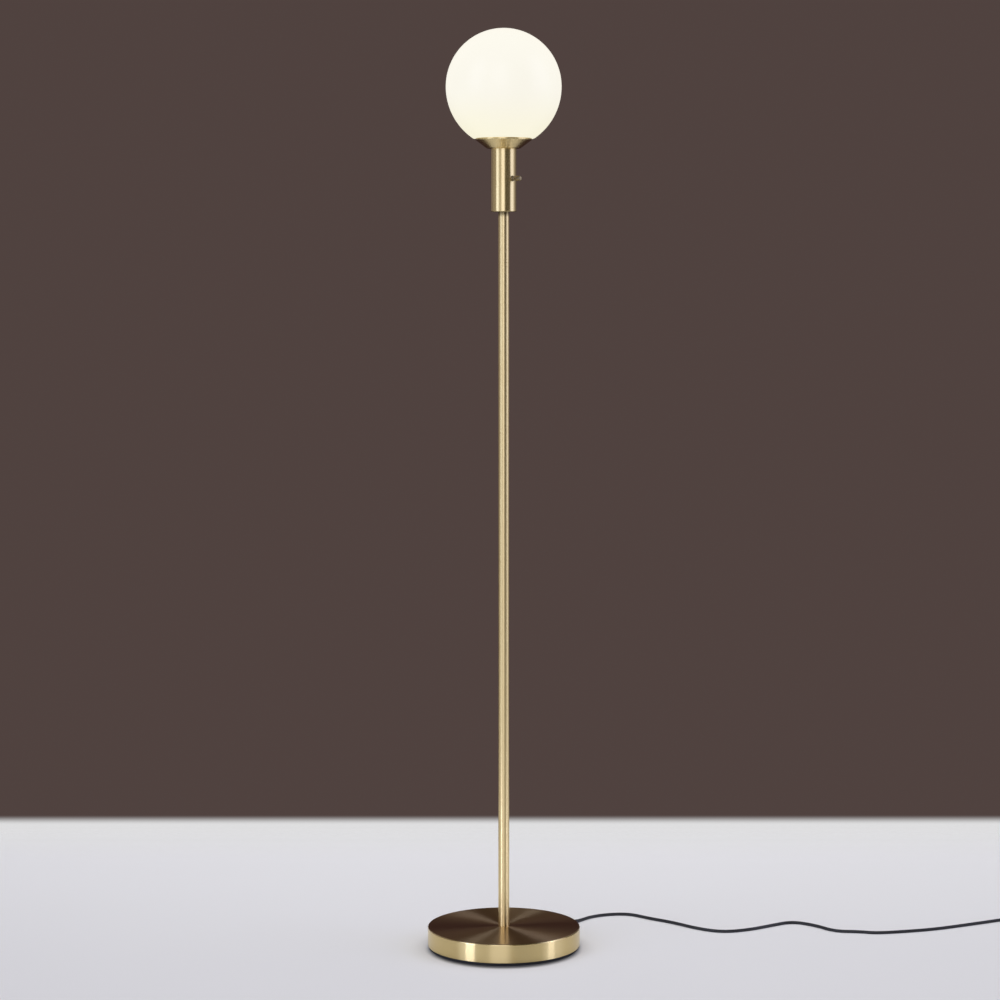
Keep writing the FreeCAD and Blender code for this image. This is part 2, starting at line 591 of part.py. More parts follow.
def arc(cx, cy, r, p, q):
    a0, a1 = math.atan2(p[1] - cy, p[0] - cx), math.atan2(q[1] - cy, q[0] - cx)
    return Part.ArcOfCircle(Part.Circle(V(cx, cy, 0), V(0, 0, 1), r), a0, a1)


foot_out = math.sqrt(ro ** 2 - zc ** 2) - GO
foot_in = math.sqrt(ri ** 2 - (zc - GW) ** 2) - GO
gsk.addGeometry([
    arc(0, zc, GR, (GR, zc), (0, zc + GR)),                      # 0 outer upper
    arc(-GO, zc, ro, (foot_out, 0), (GR, zc)),                   # 1 outer lower
    Part.LineSegment(V(foot_out, 0, 0), V(NR, 0, 0)),            # 2 foot, below
    Part.LineSegment(V(NR, 0, 0), V(NR, NL - z0, 0)),            # 3 neck, outside
    Part.LineSegment(V(NR, NL - z0, 0), V(NR - GW, NL - z0, 0)),  # 4 neck end
    Part.LineSegment(V(NR - GW, NL - z0, 0), V(NR - GW, GW, 0)),  # 5 neck, inside
    Part.LineSegment(V(NR - GW, GW, 0), V(foot_in, GW, 0)),      # 6 foot, above
    arc(-GO, zc, ri, (foot_in, GW), (GR - GW, zc)),              # 7 inner lower
    arc(0, zc, GR - GW, (GR - GW, zc), (0, zc + GR - GW)),       # 8 inner upper
    Part.LineSegment(V(0, zc + GR - GW, 0), V(0, zc + GR, 0)),   # 9 axis
], False)
for c in (("Coincident", 0, 1, 1, 2), ("Coincident", 1, 1, 2, 1), ("Coincident", 2, 2, 3, 1), ("Coincident", 3, 2, 4, 1),
          ("Coincident", 4, 2, 5, 1), ("Coincident", 5, 2, 6, 1), ("Coincident", 6, 2, 7, 1), ("Coincident", 7, 2, 8, 1),
          ("Coincident", 8, 2, 9, 1), ("Coincident", 9, 2, 0, 2), ("Coincident", 0, 3, 8, 3), ("Coincident", 1, 3, 7, 3),
          ("PointOnObject", 0, 3, -2), ("PointOnObject", 0, 2, -2), ("PointOnObject", 8, 2, -2),
          ("Horizontal", 2), ("Vertical", 3), ("Horizontal", 4), ("Vertical", 5), ("Horizontal", 6),
          ("PointOnObject", 2, 1, -1)):
    gsk.addConstraint(Sketcher.Constraint(*c))


def bound(kind, args, q, tag):
    i = gsk.addConstraint(Sketcher.Constraint(kind, *(list(args) + [q.n])))
    gsk.renameConstraint(i, tag)
    gsk.setExpression("Constraints." + tag, q.f)


ZC = S("globe_centre") - S("globe_foot")
bound("DistanceY", (-1, 1, 0, 3), ZC, "centre_high")
bound("DistanceY", (-1, 1, 0, 1), ZC, "equator_high")
bound("DistanceY", (-1, 1, 1, 3), ZC, "lower_centre_high")
bound("DistanceX", (1, 3, -1, 1), S("globe_offset"), "lower_centre_back")
bound("Radius", (0,), S("globe_radius"), "outer")
bound("Radius", (8,), S("globe_radius") - S("globe_wall"), "inner")
bound("DistanceY", (-1, 1, 8, 1), ZC, "inner_equator_high")
bound("DistanceX", (-1, 1, 3, 1), S("neck_radius"), "neck_out")
bound("DistanceX", (-1, 1, 5, 1), S("neck_radius") - S("globe_wall"), "neck_in")
bound("DistanceY", (3, 2, -1, 1), S("globe_foot") - S("neck_low"), "neck_long")
bound("DistanceY", (-1, 1, 6, 1), S("globe_wall"), "foot_thick")
grev = globe.newObject("PartDesign::Revolution", "globe_shade_turn")
grev.Profile = gsk
grev.ReferenceAxis = (gsk, ["V_Axis"])
grev.Angle = 360.0
globe.Tip = grev
place(globe, (0, 0, S("globe_foot")))
node(globe, "globe_shade")
round_edges(globe, "globe_shade_foot_edge", [(foot_out, 0)], S("globe_edge"))
round_edges(globe, "globe_shade_neck_edges", [(NR, NL - z0), (NR - GW, NL - z0)], Q(0.9, "0.9"))
round_edges(globe, "globe_shade_inner_edge", [(NR - GW, GW)], Q(1.0, "1.0"))

# ---------------------------------------------------------------------------
# turn switch, made along its own +Z and pointed out of the housing
# ---------------------------------------------------------------------------
SA = axis_turn(SW)
SZ = S("switch_height")
b0, b1 = S("switch_back"), S("switch_front")
turned("switch_body", [
    (S("switch_radius"), b0), (S("switch_radius"), b1), (S("bush_radius"), b1), (S("bush_radius"), S("bush_end")), (S("shaft_hole"), S("bush_end")),
    (S("shaft_hole"), b1 - 2.0), (5.4, b1 - 2.0), (5.4, b0)], (0, 0, SZ), rot=SA)
turned("switch_back_plate", [(0, b0), (5.4, b0), (5.4, b0 + 1.2), (0, b0 + 1.2)], (0, 0, SZ), rot=SA)
# rotor: a square cam with rounded corners on the shaft
rotor_round = cyl("switch_rotor_round", 4.7, 4.6, (u.x * 9.6, u.y * 9.6, SZ), SA)
rotor_square = block("switch_rotor_square", 7.6, 7.6, 4.6, (0, 0, 0))
rot_sq = SA
corner = rot_sq.multVec(V(-3.8, -3.8, 9.6))
rotor_square.Placement = App.Placement(V(corner.x, corner.y, NUM["switch_height"] + corner.z), rot_sq)
rotor_blank = doc.addObject("Part::Common", "switch_rotor_blank")
rotor_blank.Base, rotor_blank.Tool = rotor_round, rotor_square
rotor_bore = cyl("switch_rotor_bore", S("shaft_radius"), 8, (u.x * 8.4, u.y * 8.4, SZ), SA)
cut("switch_rotor", rotor_blank, [rotor_bore])
turned("switch_shaft", [(0, 9.2), (S("shaft_radius"), 9.2), (S("shaft_radius"), 35.0), (0, 35.0)], (0, 0, SZ), rot=SA)
# saddle washer against the round housing, and the round nut on the bush
saddle_blank = turned("switch_saddle_blank", [
    (S("bush_radius"), 19.9), (S("switch_nut_radius") + 0.35, 19.9), (S("switch_nut_radius") + 0.35, S("switch_nut_low")),
    (S("bush_radius"), S("switch_nut_low"))], (0, 0, SZ), rot=SA, keep=False)
cut("switch_saddle_washer", saddle_blank, [cyl("saddle_tool", HR, 30, (0, 0, SZ - 15))])
turned("switch_nut", [
    (S("bush_radius"), S("switch_nut_low")), (S("switch_nut_radius"), S("switch_nut_low")),
    (S("switch_nut_radius"), S("switch_nut_top") - 0.5), (S("switch_nut_radius") - 0.5, S("switch_nut_top")),
    (S("bush_radius"), S("switch_nut_top"))], (0, 0, SZ), rot=SA)
# knob: waisted neck, drum with shallow grooves, domed end, blind bore for the shaft
kl, ke, kr, kn = S("knob_low"), S("knob_end"), S("knob_radius"), S("knob_neck")
bore_r = S("shaft_radius")
turned("switch_knob", [
    (bore_r, kl), (kn + 0.5, kl), (kn + 0.5, kl + 0.8), (kn, kl + 1.3), (kn, kl + 3.4), (kr - 0.7, kl + 5.0), (kr, kl + 6.2),
    (kr, ke - 4.2), (kr - 0.45, ke - 3.8), (kr - 0.45, ke - 3.2), (kr, ke - 2.8), (kr, ke - 1.5), (kr - 0.5, ke - 0.6),
    (kr - 1.6, ke - 0.1), (0, ke), (0, 35.2), (bore_r, 35.2)], (0, 0, SZ), rot=SA)
# two terminals under the switch
terms = []
for k, side in enumerate((-1, 1)):
    p = u * 12.0 + w * (3.4 * side)
    terms.append(cyl("switch_terminal_%d" % k, 1.6, 3.4, (p.x, p.y, NUM["switch_height"] - 9.5)))
# the posts end in the flat of the switch barrel
barrel = cyl("switch_terminal_tool", S("switch_radius"), 20, (u.x * 4, u.y * 4, SZ), SA)
term_cut = [cut("switch_terminal_end_%d" % k, t, [barrel], keep=False) for k, t in enumerate(terms)]
group("switch_terminals", term_cut)

# ---------------------------------------------------------------------------
# strain relief in the skirt, and the clamp inside the base
# ---------------------------------------------------------------------------
EXA = axis_turn(ang)
EH = S("cord_exit_height")
cb = S("cord_radius")
s0 = R - W
relief = [(cb, s0 - 2.1), (5.1, s0 - 2.1), (5.1, s0 - 0.13), (S("cord_hole") - 0.03, s0 - 0.13), (S("cord_hole") - 0.03, R + 0.02), (S("relief_flange"), R + 0.02),
          (S("relief_flange"), R + 1.4), (S("relief_flange") - 0.8, R + 2.2)]
# tapered sleeve with grooves that let it bend
steps = 6
for i in range(steps):
    f0, f1 = i / steps, (i + 0.62) / steps
    ra, rb_ = 5.0 - 1.55 * f0, 5.0 - 1.55 * f1
    sA, sB = 2.2 + 22.8 * f0, 2.2 + 22.8 * f1
    relief += [(ra, R + (sA + 0.01)), (rb_, R + sB), (rb_ - 0.9, R + (sB + 0.25)), (rb_ - 0.95, R + (2.2 + 22.8 * (i + 0.93) / steps))]
relief += [(3.45, S("relief_end") - 1.2), (3.1, S("relief_end")), (cb, S("relief_end"))]
turned("cord_strain_relief", relief, (0, 0, EH), rot=EXA)

clamp_blank = block("cord_clamp_blank", 9.0, 21.0, 7.4, (0, 0, 0))
rot = App.Rotation(V(0, 0, 1), ang)
c0 = rot.multVec(V(CLAMP_R - 4.5, -10.5, 0))
place(clamp_blank, (c0.x, c0.y, S("recess_top") - 7.4), rot=rot)
clamp_bore = cyl("cord_clamp_bore", S("cord_radius"), 20, (ca * (CLAMP_R - 10), sa * (CLAMP_R - 10), EH), EXA)
clamp_tools = [clamp_bore]
clamp_screws = []
for k, side in enumerate((-1, 1)):
    x, y = CLAMP_R * ca - side * 7.5 * sa, CLAMP_R * sa + side * 7.5 * ca
    clamp_tools.append(cyl("cord_clamp_hole_%d" % k, 1.45, 12, (x, y, S("recess_top") - 9)))
    sh = cyl("cord_clamp_shank_%d" % k, 1.45, 13.0, (x, y, S("recess_top") - 7.4))
    hd = cyl("cord_clamp_head_%d" % k, 2.7, 1.3, (x, y, S("recess_top") - 8.7))
    clamp_screws.append(fuse("cord_clamp_screw_%d" % k, [sh, hd], keep=False))
cut("cord_clamp", clamp_blank, clamp_tools)
group("cord_clamp_screws", clamp_screws)

# ---------------------------------------------------------------------------
# lead, wires and the free cord: straight runs joined by tangent arcs
# ---------------------------------------------------------------------------


def path(points, ratio=0.45, radius=None, say=None):
    pts = [V(*p) for p in points]
    edges, at, radii = [], pts[0], []
    for i in range(1, len(pts) - 1):
        a, b, c = pts[i - 1], pts[i], pts[i + 1]
        p, q = (a - b), (c - b)
        run = min(p.Length, q.Length)
        p.normalize()
        q.normalize()
        half = (math.pi - math.acos(max(-1.0, min(1.0, p.dot(q))))) / 2
        r = ratio * run / math.tan(half) if radius is None else radius
        d = r * math.tan(half)
        t0, t1 = b + p * d, b + q * d
        bis = (p + q)
        bis.normalize()
        centre = b + bis * (r / math.cos(half))
        mid = centre - bis * r
        if (t0 - at).Length > 1e-4:
            edges.append(Part.LineSegment(at, t0).toShape())
        edges.append(Part.Arc(t0, mid, t1).toShape())
        radii.append(r)
        at = t1
    edges.append(Part.LineSegment(at, pts[-1]).toShape())
    wire = Part.Wire(edges)
    if say:
        print(say, "length %.1f mm, radii" % wire.Length, " ".join("%.0f" % r for r in radii))
    return wire


def tube(label, points, radius, say=None, fixed=None):
    wire = path(points, radius=fixed, say=say)
    start = wire.Edges[0].Vertexes[0].Point
    first = V(*points[1]) - V(*points[0])
    circle = Part.Wire([Part.makeCircle(radius, V(*points[0]), first)])
    solid = wire.makePipeShell([circle], True, False)
    if solid.ShapeType != "Solid":
        solid = Part.Solid(solid)
    want = math.pi * radius ** 2 * wire.Length
    if abs(solid.Volume / want - 1) > 0.01:
        raise RuntimeError("%s: volume %.1f, section times length %.1f" % (label, solid.Volume, want))
    f = doc.addObject("Part::Feature", label)
    f.Shape = solid
    node(f, label)
    return f, wire.Length


rc = NUM["cord_radius"]
eh = NUM["cord_exit_height"]
re_ = NUM["relief_end"]
SHEATH_END = 1224.0
tube("inner_lead", [(re_ * ca, re_ * sa, eh), (0, 0, eh), (0, 0, SHEATH_END)], rc, "inner lead", fixed=9.8)
rw = 1.1
tl = u * 12.0 + w * -3.4
ts = u * 12.0 + w * 3.4
tz = NUM["switch_height"] - 9.5
run_z = NUM["insert_low"] - NUM["terminal_foot_high"] - 2.8   # the wires' level below the terminals
foot_z = NUM["insert_low"] - NUM["terminal_foot_high"]
tube("wire_live", [(u.x * 1.25, u.y * 1.25, SHEATH_END), (u.x * 1.25, u.y * 1.25, 1234.0), (tl.x, tl.y, 1234.6), (tl.x, tl.y, tz)],
     rw, "live wire", fixed=3.4)
tube("wire_neutral", [(u.x * -1.25, u.y * -1.25, SHEATH_END), (u.x * -1.25, u.y * -1.25, run_z), (TERM_B, 0, run_z), (TERM_B, 0, foot_z)],
     rw, "neutral wire", fixed=2.4)
tube("wire_switched", [(ts.x, ts.y, tz), (ts.x, ts.y, tz - 6.5), (WIRE_UP.x, WIRE_UP.y, tz - 6.5), (WIRE_UP.x, WIRE_UP.y, run_z),
                       (TERM_A, 0, run_z), (TERM_A, 0, foot_z)], rw, "switched wire", fixed=2.4)

# free cord on the floor, from the strain relief to the coil
CORD = [
    (re_ * ca, re_ * sa, eh), (109.5, 135.2, 9.6), (124.3, 156.5, 2.5), (156.1, 199.2, 2.5), (214.0, 215.4, 2.5), (251.7, 178.8, 2.5),
    (289.0, 151.8, 2.5), (330.1, 107.1, 2.5), (370.9, 85.3, 2.5), (417.0, 102.2, 2.5), (456.6, 131.0, 2.5), (493.0, 156.4, 2.5),
    (530.0, 131.8, 2.5), (558.6, 90.5, 2.5), (600.0, 88.0, 2.5), (625.9, 78.0, 2.5), (683.1, 90.3, 2.5), (733.6, 106.4, 2.5),
    (782.9, 131.2, 2.5), (837.5, 159.6, 2.5), (891.7, 189.4, 2.5),
]
f_cord, len_cord = tube("mains_cord", CORD, rc, "free cord")
COIL = (907.4, 159.8)
coil_out = cyl("mains_cord_coil_outer", 36.0, 10.0, (COIL[0], COIL[1], 0))
coil_in = cyl("mains_cord_coil_inner", 21.0, 14.0, (COIL[0], COIL[1], -2))
cut("mains_cord_coil", coil_out, [coil_in])
PLUG_X, PLUG_Y, PLUG_Z = 936.0, 69.0, NUM["plug_thick"] / 2
face_to_cord = NUM["plug_face_long"] + NUM["plug_taper_long"] + 12.0
TAIL = [(940.9, 159.8, 7.5), (941.0, 143.0, 7.5), (936.0, 129.0, 6.85), (PLUG_X, PLUG_Y + face_to_cord, PLUG_Z)]
f_tail, len_tail = tube("mains_cord_tail", TAIL, rc, "cord tail")

# ---------------------------------------------------------------------------
# two-pin plug, lying flat on the floor with its pins towards -Y
# ---------------------------------------------------------------------------
pw, pt = S("plug_wide"), S("plug_thick")
plug = doc.addObject("PartDesign::Body", "plug_blank")
psk = plug.newObject("Sketcher::SketchObject", "plug_outline")
psk.AttachmentSupport = [(plane(plug, "XY_Plane"), "")]
psk.MapMode = "FlatFace"
fl, tl_, tw = NUM["plug_face_long"], NUM["plug_taper_long"], NUM["plug_tail_wide"]
hwid = NUM["plug_wide"] / 2
outline = [(hwid, 0), (hwid, fl), (tw / 2, fl + tl_), (-tw / 2, fl + tl_), (-hwid, fl), (-hwid, 0)]
for i in range(6):
    a, b = outline[i], outline[(i + 1) % 6]
    psk.addGeometry(Part.LineSegment(V(a[0], a[1], 0), V(b[0], b[1], 0)), False)
for i in range(6):
    psk.addConstraint(Sketcher.Constraint("Coincident", i, 2, (i + 1) % 6, 1))
for c in (("Symmetric", 0, 1, 5, 1, -2), ("Symmetric", 1, 1, 4, 1, -2), ("Symmetric", 2, 1, 3, 1, -2),
          ("PointOnObject", 0, 1, -1)):
    psk.addConstraint(Sketcher.Constraint(*c))
for kind, args, q, tag in (
        ("DistanceX", (5, 1, 0, 1), pw, "face_wide"), ("DistanceX", (4, 1, 1, 1), pw, "shoulder_wide"),
        ("DistanceX", (3, 1, 2, 1), S("plug_tail_wide"), "tail_wide"), ("DistanceY", (-1, 1, 1, 1), S("plug_face_long"), "face_long"),
        ("DistanceY", (-1, 1, 2, 1), S("plug_face_long") + S("plug_taper_long"), "taper_long")):
    i = psk.addConstraint(Sketcher.Constraint(kind, *(list(args) + [q.n])))
    psk.renameConstraint(i, tag)
    psk.setExpression("Constraints." + tag, q.f)
ppad = plug.newObject("PartDesign::Pad", "plug_thickness")
ppad.Profile = psk
ppad.Length = NUM["plug_thick"]
ppad.setExpression("Length", "Sizes.plug_thick")
ppad.Midplane = True
plug.Tip = ppad
doc.recompute()
names = [("Edge%d" % (i + 1)) for i, e in enumerate(ppad.Shape.Edges)
         if abs(e.BoundBox.ZMax - e.BoundBox.ZMin) > 5 or (e.BoundBox.YMin > -0.01 and e.BoundBox.YMax > 0.1 and abs(e.BoundBox.ZMax - e.BoundBox.ZMin) < 0.1)]
pfil = plug.newObject("PartDesign::Fillet", "plug_round")
pfil.Base = (ppad, names)
pfil.Radius = 3.2
plug.Tip = pfil
place(plug, (PLUG_X, PLUG_Y, PLUG_Z))
boot_turn = App.Rotation(V(0, 0, 1), V(0, 1, 0))
boot = turned("plug_boot_blank", [
    (0, -2.0), (5.4, -2.0), (5.2, 1.2), (4.3, 1.5), (4.3, 2.9), (5.0, 3.2), (4.8, 5.4), (4.0, 5.7), (4.0, 7.1), (4.6, 7.4), (4.2, 11.2), (3.6, 12.0),
    (0, 12.0)], (PLUG_X, PLUG_Y + fl + tl_, PLUG_Z), rot=boot_turn, keep=False)
fuse("plug_body", [plug, boot])
pins = []
for k, side in enumerate((-1, 1)):
    x = PLUG_X + side * NUM["pin_spacing"] / 2
    pin_turn = App.Rotation(V(0, 0, 1), V(0, -1, 0))
    pins.append(turned("plug_pin_%d" % k, [
        (0, 0), (S("pin_radius"), 0), (S("pin_radius"), S("pin_long") - 1.3), (S("pin_radius") - 0.9, S("pin_long") - 0.2),
        (0, S("pin_long"))], (x, PLUG_Y, PLUG_Z), rot=pin_turn, keep=False))
group("plug_pins", pins)

# ---------------------------------------------------------------------------
# recompute, test and write
# ---------------------------------------------------------------------------
doc.recompute()
bad = [o.Name for o in doc.Objects if "Invalid" in o.State or "Error" in o.State]
if bad:
    raise RuntimeError("objects not computed: " + ", ".join(bad))
os.makedirs("parts", exist_ok=True)
for obj, label in NODES:
    shape = obj.Shape
    if shape.isNull() or not shape.isValid() or not shape.Solids:
        raise RuntimeError("bad shape: " + label)
seen = set()
for obj, label in NODES:
    if label in seen:
        raise RuntimeError("name used twice: " + label)
    seen.add(label)
    shape = obj.Shape
    solids = shape.Solids
    out = solids[0] if len(solids) == 1 else Part.makeCompound(solids)
    out.exportStep(os.path.join("parts", label + ".step"))
    bb = out.BoundBox
    print("%-24s solids %d  vol %10.1f  x %.1f..%.1f y %.1f..%.1f z %.1f..%.1f" % (
        label, len(solids), out.Volume, bb.XMin, bb.XMax, bb.YMin, bb.YMax, bb.ZMin, bb.ZMax))
print("nodes", len(NODES))
print("free cord %.0f mm + tail %.0f mm" % (len_cord, len_tail))
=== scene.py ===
import json
import math

import bpy
from mathutils import Matrix, Vector

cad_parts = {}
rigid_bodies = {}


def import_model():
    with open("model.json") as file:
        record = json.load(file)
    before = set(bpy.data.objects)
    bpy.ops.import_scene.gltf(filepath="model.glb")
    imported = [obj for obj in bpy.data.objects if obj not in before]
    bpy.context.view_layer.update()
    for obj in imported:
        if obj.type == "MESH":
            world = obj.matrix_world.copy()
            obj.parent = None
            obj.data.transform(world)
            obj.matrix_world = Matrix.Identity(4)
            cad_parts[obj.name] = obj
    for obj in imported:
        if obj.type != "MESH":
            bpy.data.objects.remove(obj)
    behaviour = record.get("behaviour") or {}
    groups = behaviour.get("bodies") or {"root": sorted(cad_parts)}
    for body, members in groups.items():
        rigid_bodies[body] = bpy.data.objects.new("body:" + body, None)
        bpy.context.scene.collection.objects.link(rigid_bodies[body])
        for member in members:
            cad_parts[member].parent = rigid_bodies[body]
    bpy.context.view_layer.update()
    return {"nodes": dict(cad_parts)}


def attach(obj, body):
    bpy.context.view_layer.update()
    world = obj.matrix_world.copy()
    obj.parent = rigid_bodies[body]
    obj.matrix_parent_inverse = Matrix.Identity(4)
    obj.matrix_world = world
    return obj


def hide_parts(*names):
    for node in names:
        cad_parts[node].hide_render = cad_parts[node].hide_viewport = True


for spare in list(bpy.data.objects):
    bpy.data.objects.remove(spare)
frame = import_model()
nodes = frame["nodes"]
scene = bpy.context.scene
scene.view_settings.view_transform = "Standard"
scene.view_settings.look = "None"


# camera: 4.26 m in front of the pole, 1.11 m high, tilted down 4.94 degrees, 94.5 mm on a 36 mm sensor

camera_data = bpy.data.cameras.new("camera")
camera_data.lens = 94.5
camera_data.sensor_width = 36.0
camera = bpy.data.objects.new("camera", camera_data)
scene.collection.objects.link(camera)
camera.matrix_world = (Matrix.Translation((-0.0061, -4.260, 1.109))
                       @ Matrix.Rotation(math.radians(90.0 - 4.94), 4, "X")
                       @ Matrix.Rotation(-0.0003, 4, "Z"))
scene.camera = camera


# the cord: out of the strain relief behind the base, along the floor to the right, into the coil and out to the plug

CORD_DIAMETER = 0.005
CORD_EXIT = (0.09566, 0.11813, 0.010)
CORD_ROUTE = [
    CORD_EXIT, (0.1095, 0.1352, 0.0096), (0.1243, 0.1565, 0.0025), (0.1561, 0.1992, 0.0025),
    (0.2140, 0.2154, 0.0025), (0.2517, 0.1788, 0.0025), (0.2890, 0.1518, 0.0025), (0.3301, 0.1071, 0.0025),
    (0.3709, 0.0853, 0.0025), (0.4170, 0.1022, 0.0025), (0.4566, 0.1310, 0.0025), (0.4930, 0.1564, 0.0025),
    (0.5300, 0.1318, 0.0025), (0.5586, 0.0905, 0.0025), (0.6000, 0.0880, 0.0025), (0.6259, 0.0780, 0.0025),
    (0.6831, 0.0903, 0.0025), (0.7336, 0.1064, 0.0025), (0.7829, 0.1312, 0.0025), (0.8375, 0.1596, 0.0025),
]
COIL_CENTRE = (0.9074, 0.1598)
COIL_START = 118.0            # where the cord runs into the outermost turn, in degrees
COIL_TURNS = 5.0 + 118.0 / 360.0
TAIL_ROUTE = [(0.9410, 0.1430, 0.0075), (0.9360, 0.1290, 0.00685), (0.9360, 0.1150, 0.00685)]


def coil_points(per_turn=18):
    """Five and a third turns: in along the floor from radius 33.5 to 23.5 mm, up, and out again on top."""
    points = []
    count = int(round(COIL_TURNS * per_turn))
    for i in range(count + 1):
        turn = COIL_TURNS * i / count
        inward = min(turn, 2.0)
        outward = max(0.0, turn - (COIL_TURNS - 2.0))
        radius = 0.0335 - 0.005 * inward + 0.005 * outward
        rise = min(1.0, max(0.0, (turn - 2.3) / 0.62))
        z = 0.0025 + 0.005 * rise * rise * (3.0 - 2.0 * rise)
        angle = math.radians(COIL_START - 360.0 * turn)
        points.append((COIL_CENTRE[0] + radius * math.cos(angle), COIL_CENTRE[1] + radius * math.sin(angle), z))
    return points


def nurbs(name, points, radius):
    curve = bpy.data.curves.new(name, "CURVE")
    curve.dimensions = "3D"
    spline = curve.splines.new("NURBS")
    spline.points.add(len(points) - 1)
    for point, place in zip(spline.points, points):
        point.co = (place[0], place[1], place[2], 1.0)
        point.radius = radius
    spline.order_u = 3
    spline.use_endpoint_u = True
    spline.resolution_u = 10
    curve.resolution_u = 10
    curve.bevel_depth = 1.0
    curve.bevel_resolution = 5
    curve.use_fill_caps = True
    made = bpy.data.objects.new(name, curve)
    scene.collection.objects.link(made)
    return made


flex = nurbs("flex", CORD_ROUTE + coil_points() + TAIL_ROUTE, CORD_DIAMETER / 2.0)
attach(flex, "stand")
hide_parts("mains_cord", "mains_cord_coil", "mains_cord_tail")


# node helpers for the materials

class Graph:
    def __init__(self, owner):
        owner.use_nodes = True
        self.tree = owner.node_tree
        self.tree.nodes.clear()

    def node(self, kind, **settings):
        made = self.tree.nodes.new(kind)
        for key, value in settings.items():
            setattr(made, key, value)
        return made

    def link(self, a, b):
        self.tree.links.new(a, b)

    def put(self, socket, value):
        if isinstance(value, bpy.types.NodeSocket):
            self.link(value, socket)
        else:
            socket.default_value = value

    def math(self, operation, a, b=None, c=None, clamp=False):
        made = self.node("ShaderNodeMath", operation=operation, use_clamp=clamp)
        for i, value in enumerate((a, b, c)):
            if value is not None:
                self.put(made.inputs[i], value)
        return made.outputs[0]

    def spread(self, value, low, high, to_low=0.0, to_high=1.0, smooth=False):
        made = self.node("ShaderNodeMapRange", interpolation_type="SMOOTHSTEP" if smooth else "LINEAR", clamp=True)
        for name, number in (("Value", value), ("From Min", low), ("From Max", high), ("To Min", to_low), ("To Max", to_high)):
            self.put(made.inputs[name], number)
        return made.outputs["Result"]

    def split(self, vector):
        made = self.node("ShaderNodeSeparateXYZ")
        self.link(vector, made.inputs[0])
        return made.outputs

    def join(self, x, y, z):
        made = self.node("ShaderNodeCombineXYZ")
        for i, value in enumerate((x, y, z)):
            self.put(made.inputs[i], value)
        return made.outputs[0]

    def mix(self, factor, a, b, blend="MIX"):
        made = self.node("ShaderNodeMix", data_type="RGBA", blend_type=blend)
        self.put(made.inputs[0], factor)
        self.put(made.inputs[6], a)
        self.put(made.inputs[7], b)
        return made.outputs[2]

    def ramp(self, value, stops, interpolation="LINEAR"):
        made = self.node("ShaderNodeValToRGB")
        made.color_ramp.interpolation = interpolation
        elements = made.color_ramp.elements
        while len(elements) < len(stops):
            elements.new(0.5)
        for i, (place, colour) in enumerate(stops):
            elements[i].position = place
            elements[i].color = colour
        self.link(value, made.inputs[0])
        return made.outputs[0]

    def noise(self, vector, scale, detail=3.0, rough=0.55, w=None, distortion=0.0):
        made = self.node("ShaderNodeTexNoise", noise_dimensions="3D" if w is None else "4D")
        self.link(vector, made.inputs["Vector"])
        if w is not None:
            self.put(made.inputs["W"], w)
        made.inputs["Scale"].default_value = scale
        made.inputs["Detail"].default_value = detail
        made.inputs["Roughness"].default_value = rough
        made.inputs["Distortion"].default_value = distortion
        return made.outputs[0]

    def bump(self, height, distance, strength=1.0, normal=None):
        made = self.node("ShaderNodeBump")
        self.put(made.inputs["Height"], height)
        made.inputs["Distance"].default_value = distance
        made.inputs["Strength"].default_value = strength
        if normal is not None:
            self.link(normal, made.inputs["Normal"])
        return made.outputs[0]


def principled(name, colour=None, **values):
    """A material with a Principled shader; constants go straight onto its sockets."""
    material = bpy.data.materials.new(name)
    graph = Graph(material)
    output = graph.node("ShaderNodeOutputMaterial")
    shader = graph.node("ShaderNodeBsdfPrincipled")
    graph.link(shader.outputs[0], output.inputs[0])
    if colour is not None:
        shader.inputs["Base Color"].default_value = (*colour, 1.0)
    for key, value in values.items():
        shader.inputs[key.replace("_", " ")].default_value = value
    material.diffuse_color = (*(colour or (0.8, 0.8, 0.8)), 1.0)
    return material, graph, shader


def rgb(*colour):
    return (*colour, 1.0)


def object_coordinates(graph):
    return graph.node("ShaderNodeTexCoord").outputs["Object"]


def lathe_coordinates(graph):
    """Vector and W for a noise that runs in rings about the pole: quick across radius and height, slow round it."""
    x, y, z = graph.split(object_coordinates(graph))
    square = graph.math("ADD", graph.math("MULTIPLY", x, x), graph.math("MULTIPLY", y, y))
    radius = graph.math("MAXIMUM", graph.math("SQRT", square), 1e-5)
    return graph.math("DIVIDE", x, radius), graph.math("DIVIDE", y, radius), radius, z


